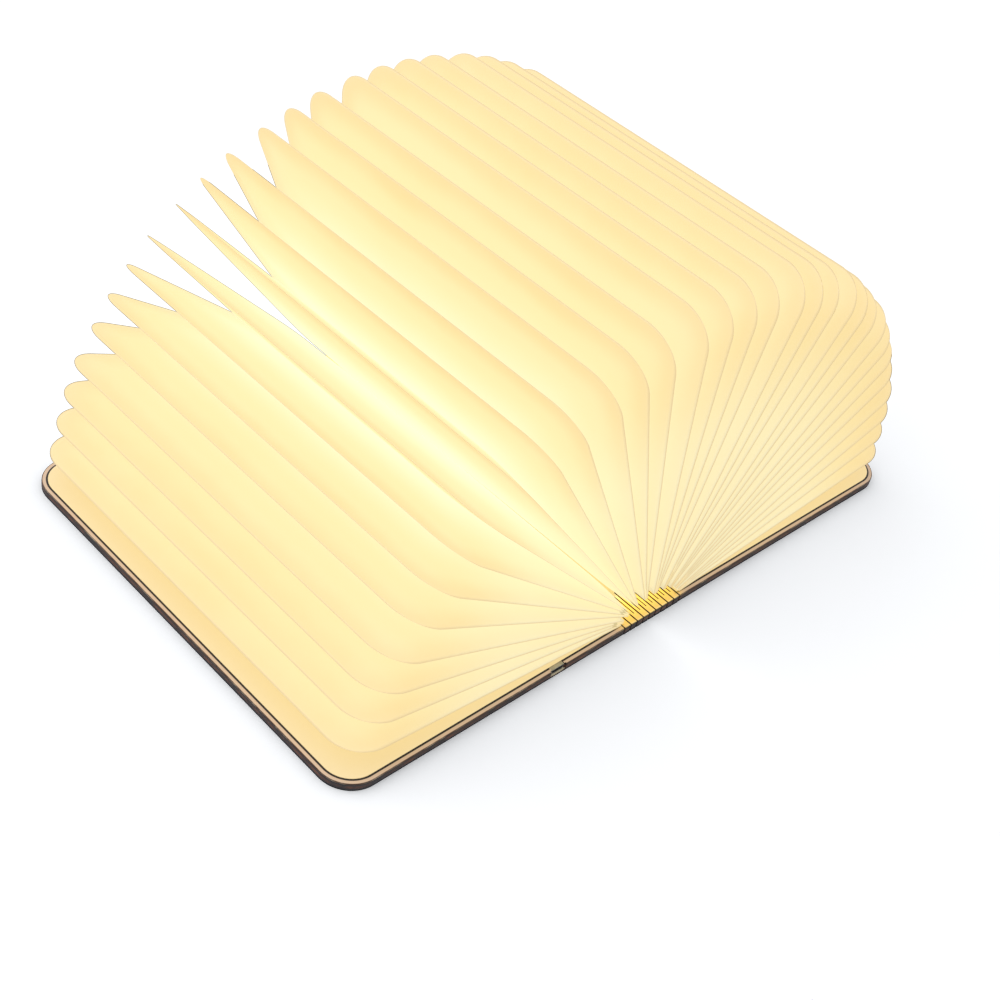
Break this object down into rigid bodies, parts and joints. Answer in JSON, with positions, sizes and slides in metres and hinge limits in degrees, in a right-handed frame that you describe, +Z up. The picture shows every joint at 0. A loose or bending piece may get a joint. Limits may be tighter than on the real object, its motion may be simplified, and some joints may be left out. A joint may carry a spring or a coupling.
{
  "type": "folding book lamp",
  "caption": "Lamp shaped like a book: wooden covers on a slotted living hinge fold open to 180 or 360 degrees and spread a lit fan of paper pages.",
  "frame": {"origin": "on the table, under the middle of the spine, with the lamp lying open at 180 degrees", "axes": "+X across towards the right cover's fore-edge, +Y along the spine towards the back, +Z up out of the open pages"},
  "size_m": [0.347, 0.215, 0.1659],
  "materials": {
    "birch": "satin",
    "liner_paper": "matte",
    "page_paper": "matte",
    "channel_aluminium": "satin",
    "opal_plastic": "satin",
    "battery_pouch": "satin",
    "socket_steel": "satin",
    "magnet_nickel": "gloss"
  },
  "bodies": {
    "left_cover": {"cover_left": "birch", "end_sheet_left": "liner_paper", "battery": "battery_pouch", "control_board": "socket_steel", "magnets_left": "magnet_nickel"},
    "hinge_slat_1": {"slat_1": "birch", "page_guard_1": "liner_paper"},
    "hinge_slat_2": {"slat_2": "birch", "page_guard_2": "liner_paper"},
    "hinge_slat_3": {"slat_3": "birch", "page_guard_3": "liner_paper"},
    "hinge_slat_4": {"slat_4": "birch", "page_guard_4": "liner_paper"},
    "hinge_slat_5": {"slat_5": "birch", "page_guard_5": "liner_paper", "led_channel": "channel_aluminium", "led_diffuser": "opal_plastic"},
    "hinge_slat_6": {"slat_6": "birch", "page_guard_6": "liner_paper"},
    "hinge_slat_7": {"slat_7": "birch", "page_guard_7": "liner_paper"},
    "hinge_slat_8": {"slat_8": "birch", "page_guard_8": "liner_paper"},
    "hinge_slat_9": {"slat_9": "birch", "page_guard_9": "liner_paper"},
    "right_cover": {"cover_right": "birch", "end_sheet_right": "liner_paper", "magnets_right": "magnet_nickel"},
    "leaf_01": {"page_01": "page_paper"},
    "leaf_02": {"page_02": "page_paper"},
    "leaf_03": {"page_03": "page_paper"},
    "leaf_04": {"page_04": "page_paper"},
    "leaf_05": {"page_05": "page_paper"},
    "leaf_06": {"page_06": "page_paper"},
    "leaf_07": {"page_07": "page_paper"},
    "leaf_08": {"page_08": "page_paper"},
    "leaf_09": {"page_09": "page_paper"},
    "leaf_10": {"page_10": "page_paper"},
    "leaf_11": {"page_11": "page_paper"},
    "leaf_12": {"page_12": "page_paper"},
    "leaf_13": {"page_13": "page_paper"},
    "leaf_14": {"page_14": "page_paper"},
    "leaf_15": {"page_15": "page_paper"},
    "leaf_16": {"page_16": "page_paper"},
    "leaf_17": {"page_17": "page_paper"},
    "leaf_18": {"page_18": "page_paper"},
    "leaf_19": {"page_19": "page_paper"},
    "leaf_20": {"page_20": "page_paper"},
    "leaf_21": {"page_21": "page_paper"},
    "leaf_22": {"page_22": "page_paper"},
    "leaf_23": {"page_23": "page_paper"},
    "leaf_24": {"page_24": "page_paper"},
    "leaf_25": {"page_25": "page_paper"},
    "leaf_26": {"page_26": "page_paper"},
    "leaf_27": {"page_27": "page_paper"},
    "leaf_28": {"page_28": "page_paper"},
    "leaf_29": {"page_29": "page_paper"},
    "leaf_30": {"page_30": "page_paper"},
    "leaf_31": {"page_31": "page_paper"},
    "leaf_32": {"page_32": "page_paper"}
  },
  "joints": [
    {"name": "spine_fold_1", "type": "hinge", "parent": "left_cover", "child": "hinge_slat_1", "pos_m": [-0.018, 0, 0.00195], "axis": [0, -1, 0], "range_deg": [-18.7, 18]},
    {"name": "spine_fold_2", "type": "hinge", "parent": "hinge_slat_1", "child": "hinge_slat_2", "pos_m": [-0.014, 0, 0.00195], "axis": [0, -1, 0], "range_deg": [-18.7, 18]},
    {"name": "spine_fold_3", "type": "hinge", "parent": "hinge_slat_2", "child": "hinge_slat_3", "pos_m": [-0.01, 0, 0.00195], "axis": [0, -1, 0], "range_deg": [-18.7, 18]},
    {"name": "spine_fold_4", "type": "hinge", "parent": "hinge_slat_3", "child": "hinge_slat_4", "pos_m": [-0.006, 0, 0.00195], "axis": [0, -1, 0], "range_deg": [-18.7, 18]},
    {"name": "spine_fold_5", "type": "hinge", "parent": "hinge_slat_4", "child": "hinge_slat_5", "pos_m": [-0.002, 0, 0.00195], "axis": [0, -1, 0], "range_deg": [-18.7, 18]},
    {"name": "spine_fold_6", "type": "hinge", "parent": "hinge_slat_5", "child": "hinge_slat_6", "pos_m": [0.002, 0, 0.00195], "axis": [0, -1, 0], "range_deg": [-18.7, 18]},
    {"name": "spine_fold_7", "type": "hinge", "parent": "hinge_slat_6", "child": "hinge_slat_7", "pos_m": [0.006, 0, 0.00195], "axis": [0, -1, 0], "range_deg": [-18.7, 18]},
    {"name": "spine_fold_8", "type": "hinge", "parent": "hinge_slat_7", "child": "hinge_slat_8", "pos_m": [0.01, 0, 0.00195], "axis": [0, -1, 0], "range_deg": [-18.7, 18]},
    {"name": "spine_fold_9", "type": "hinge", "parent": "hinge_slat_8", "child": "hinge_slat_9", "pos_m": [0.014, 0, 0.00195], "axis": [0, -1, 0], "range_deg": [-18.7, 18]},
    {"name": "spine_fold_10", "type": "hinge", "parent": "hinge_slat_9", "child": "right_cover", "pos_m": [0.018, 0, 0.00195], "axis": [0, -1, 0], "range_deg": [-18.7, 18]},
    {"name": "page_turn_01", "type": "hinge", "parent": "left_cover", "child": "leaf_01", "pos_m": [-0.019, 0, 0.0048], "axis": [0, -1, 0], "range_deg": [-5.69, 5.47]},
    {"name": "page_turn_02", "type": "hinge", "parent": "hinge_slat_1", "child": "leaf_02", "pos_m": [-0.01788, 0, 0.00557], "axis": [0, -1, 0], "range_deg": [-7.11, 7.39]},
    {"name": "page_turn_03", "type": "hinge", "parent": "hinge_slat_1", "child": "leaf_03", "pos_m": [-0.01768, 0, 0.00617], "axis": [0, -1, 0], "range_deg": [-1.66, 1.72]},
    {"name": "page_turn_04", "type": "hinge", "parent": "hinge_slat_1", "child": "leaf_04", "pos_m": [-0.01749, 0, 0.00677], "axis": [0, -1, 0], "range_deg": [-3.99, 3.84]},
    {"name": "page_turn_05", "type": "hinge", "parent": "hinge_slat_2", "child": "leaf_05", "pos_m": [-0.01545, 0, 0.00812], "axis": [0, -1, 0], "range_deg": [-8.75, 9.09]},
    {"name": "page_turn_06", "type": "hinge", "parent": "hinge_slat_2", "child": "leaf_06", "pos_m": [-0.01508, 0, 0.00863], "axis": [0, -1, 0], "range_deg": [-3.29, 3.42]},
    {"name": "page_turn_07", "type": "hinge", "parent": "hinge_slat_2", "child": "leaf_07", "pos_m": [-0.01471, 0, 0.00914], "axis": [0, -1, 0], "range_deg": [-2.29, 2.2]},
    {"name": "page_turn_08", "type": "hinge", "parent": "hinge_slat_2", "child": "leaf_08", "pos_m": [-0.01434, 0, 0.00965], "axis": [0, -1, 0], "range_deg": [-7.95, 7.66]},
    {"name": "page_turn_09", "type": "hinge", "parent": "hinge_slat_3", "child": "leaf_09", "pos_m": [-0.01124, 0, 0.01099], "axis": [0, -1, 0], "range_deg": [-4.93, 5.12]},
    {"name": "page_turn_10", "type": "hinge", "parent": "hinge_slat_3", "child": "leaf_10", "pos_m": [-0.01073, 0, 0.01136], "axis": [0, -1, 0], "range_deg": [-0.59, 0.57]},
    {"name": "page_turn_11", "type": "hinge", "parent": "hinge_slat_3", "child": "leaf_11", "pos_m": [-0.01022, 0, 0.01173], "axis": [0, -1, 0], "range_deg": [-6.25, 6.02]},
    {"name": "page_turn_12", "type": "hinge", "parent": "hinge_slat_4", "child": "leaf_12", "pos_m": [-0.00639, 0, 0.01275], "axis": [0, -1, 0], "range_deg": [-6.57, 6.82]},
    {"name": "page_turn_13", "type": "hinge", "parent": "hinge_slat_4", "child": "leaf_13", "pos_m": [-0.00579, 0, 0.01294], "axis": [0, -1, 0], "range_deg": [-1.11, 1.15]},
    {"name": "page_turn_14", "type": "hinge", "parent": "hinge_slat_4", "child": "leaf_14", "pos_m": [-0.00519, 0, 0.01314], "axis": [0, -1, 0], "range_deg": [-4.55, 4.38]},
    {"name": "page_turn_15", "type": "hinge", "parent": "hinge_slat_5", "child": "leaf_15", "pos_m": [-0.00095, 0, 0.01358], "axis": [0, -1, 0], "range_deg": [-8.2, 8.52]},
    {"name": "page_turn_16", "type": "hinge", "parent": "hinge_slat_5", "child": "leaf_16", "pos_m": [-0.00032, 0, 0.01358], "axis": [0, -1, 0], "range_deg": [-2.75, 2.85]},
    {"name": "page_turn_17", "type": "hinge", "parent": "hinge_slat_5", "child": "leaf_17", "pos_m": [0.00032, 0, 0.01358], "axis": [0, -1, 0], "range_deg": [-2.85, 2.75]},
    {"name": "page_turn_18", "type": "hinge", "parent": "hinge_slat_5", "child": "leaf_18", "pos_m": [0.00095, 0, 0.01358], "axis": [0, -1, 0], "range_deg": [-8.52, 8.2]},
    {"name": "page_turn_19", "type": "hinge", "parent": "hinge_slat_6", "child": "leaf_19", "pos_m": [0.00519, 0, 0.01314], "axis": [0, -1, 0], "range_deg": [-4.38, 4.55]},
    {"name": "page_turn_20", "type": "hinge", "parent": "hinge_slat_6", "child": "leaf_20", "pos_m": [0.00579, 0, 0.01294], "axis": [0, -1, 0], "range_deg": [-1.15, 1.11]},
    {"name": "page_turn_21", "type": "hinge", "parent": "hinge_slat_6", "child": "leaf_21", "pos_m": [0.00639, 0, 0.01275], "axis": [0, -1, 0], "range_deg": [-6.82, 6.57]},
    {"name": "page_turn_22", "type": "hinge", "parent": "hinge_slat_7", "child": "leaf_22", "pos_m": [0.01022, 0, 0.01173], "axis": [0, -1, 0], "range_deg": [-6.02, 6.25]},
    {"name": "page_turn_23", "type": "hinge", "parent": "hinge_slat_7", "child": "leaf_23", "pos_m": [0.01073, 0, 0.01136], "axis": [0, -1, 0], "range_deg": [-0.57, 0.59]},
    {"name": "page_turn_24", "type": "hinge", "parent": "hinge_slat_7", "child": "leaf_24", "pos_m": [0.01124, 0, 0.01099], "axis": [0, -1, 0], "range_deg": [-5.12, 4.93]},
    {"name": "page_turn_25", "type": "hinge", "parent": "hinge_slat_8", "child": "leaf_25", "pos_m": [0.01434, 0, 0.00965], "axis": [0, -1, 0], "range_deg": [-7.66, 7.95]},
    {"name": "page_turn_26", "type": "hinge", "parent": "hinge_slat_8", "child": "leaf_26", "pos_m": [0.01471, 0, 0.00914], "axis": [0, -1, 0], "range_deg": [-2.2, 2.29]},
    {"name": "page_turn_27", "type": "hinge", "parent": "hinge_slat_8", "child": "leaf_27", "pos_m": [0.01508, 0, 0.00863], "axis": [0, -1, 0], "range_deg": [-3.42, 3.29]},
    {"name": "page_turn_28", "type": "hinge", "parent": "hinge_slat_8", "child": "leaf_28", "pos_m": [0.01545, 0, 0.00812], "axis": [0, -1, 0], "range_deg": [-9.09, 8.75]},
    {"name": "page_turn_29", "type": "hinge", "parent": "hinge_slat_9", "child": "leaf_29", "pos_m": [0.01749, 0, 0.00677], "axis": [0, -1, 0], "range_deg": [-3.84, 3.99]},
    {"name": "page_turn_30", "type": "hinge", "parent": "hinge_slat_9", "child": "leaf_30", "pos_m": [0.01768, 0, 0.00617], "axis": [0, -1, 0], "range_deg": [-1.72, 1.66]},
    {"name": "page_turn_31", "type": "hinge", "parent": "hinge_slat_9", "child": "leaf_31", "pos_m": [0.01788, 0, 0.00557], "axis": [0, -1, 0], "range_deg": [-7.39, 7.11]},
    {"name": "page_turn_32", "type": "hinge", "parent": "right_cover", "child": "leaf_32", "pos_m": [0.019, 0, 0.0048], "axis": [0, -1, 0], "range_deg": [-5.47, 5.69]}
  ],
  "couplings": [
    {"joint": "page_turn_01", "follows": "spine_fold_1", "ratio": 0.30303},
    {"joint": "page_turn_02", "follows": "spine_fold_1", "ratio": -0.39394},
    {"joint": "page_turn_03", "follows": "spine_fold_1", "ratio": -0.090909},
    {"joint": "page_turn_04", "follows": "spine_fold_2", "ratio": 0.21212},
    {"joint": "page_turn_05", "follows": "spine_fold_2", "ratio": -0.48485},
    {"joint": "page_turn_06", "follows": "spine_fold_2", "ratio": -0.18182},
    {"joint": "page_turn_07", "follows": "spine_fold_3", "ratio": 0.12121},
    {"joint": "page_turn_08", "follows": "spine_fold_3", "ratio": 0.42424},
    {"joint": "page_turn_09", "follows": "spine_fold_3", "ratio": -0.27273},
    {"joint": "page_turn_10", "follows": "spine_fold_4", "ratio": 0.030303},
    {"joint": "page_turn_11", "follows": "spine_fold_4", "ratio": 0.33333},
    {"joint": "page_turn_12", "follows": "spine_fold_4", "ratio": -0.36364},
    {"joint": "page_turn_13", "follows": "spine_fold_4", "ratio": -0.060606},
    {"joint": "page_turn_14", "follows": "spine_fold_5", "ratio": 0.24242},
    {"joint": "page_turn_15", "follows": "spine_fold_5", "ratio": -0.45454},
    {"joint": "page_turn_16", "follows": "spine_fold_5", "ratio": -0.15152},
    {"joint": "page_turn_17", "follows": "spine_fold_6", "ratio": 0.15152},
    {"joint": "page_turn_18", "follows": "spine_fold_6", "ratio": 0.45454},
    {"joint": "page_turn_19", "follows": "spine_fold_6", "ratio": -0.24242},
    {"joint": "page_turn_20", "follows": "spine_fold_7", "ratio": 0.060606},
    {"joint": "page_turn_21", "follows": "spine_fold_7", "ratio": 0.36364},
    {"joint": "page_turn_22", "follows": "spine_fold_7", "ratio": -0.33333},
    {"joint": "page_turn_23", "follows": "spine_fold_7", "ratio": -0.030303},
    {"joint": "page_turn_24", "follows": "spine_fold_8", "ratio": 0.27273},
    {"joint": "page_turn_25", "follows": "spine_fold_8", "ratio": -0.42424},
    {"joint": "page_turn_26", "follows": "spine_fold_8", "ratio": -0.12121},
    {"joint": "page_turn_27", "follows": "spine_fold_9", "ratio": 0.18182},
    {"joint": "page_turn_28", "follows": "spine_fold_9", "ratio": 0.48485},
    {"joint": "page_turn_29", "follows": "spine_fold_9", "ratio": -0.21212},
    {"joint": "page_turn_30", "follows": "spine_fold_10", "ratio": 0.090909},
    {"joint": "page_turn_31", "follows": "spine_fold_10", "ratio": 0.39394},
    {"joint": "page_turn_32", "follows": "spine_fold_10", "ratio": -0.30303}
  ]
}
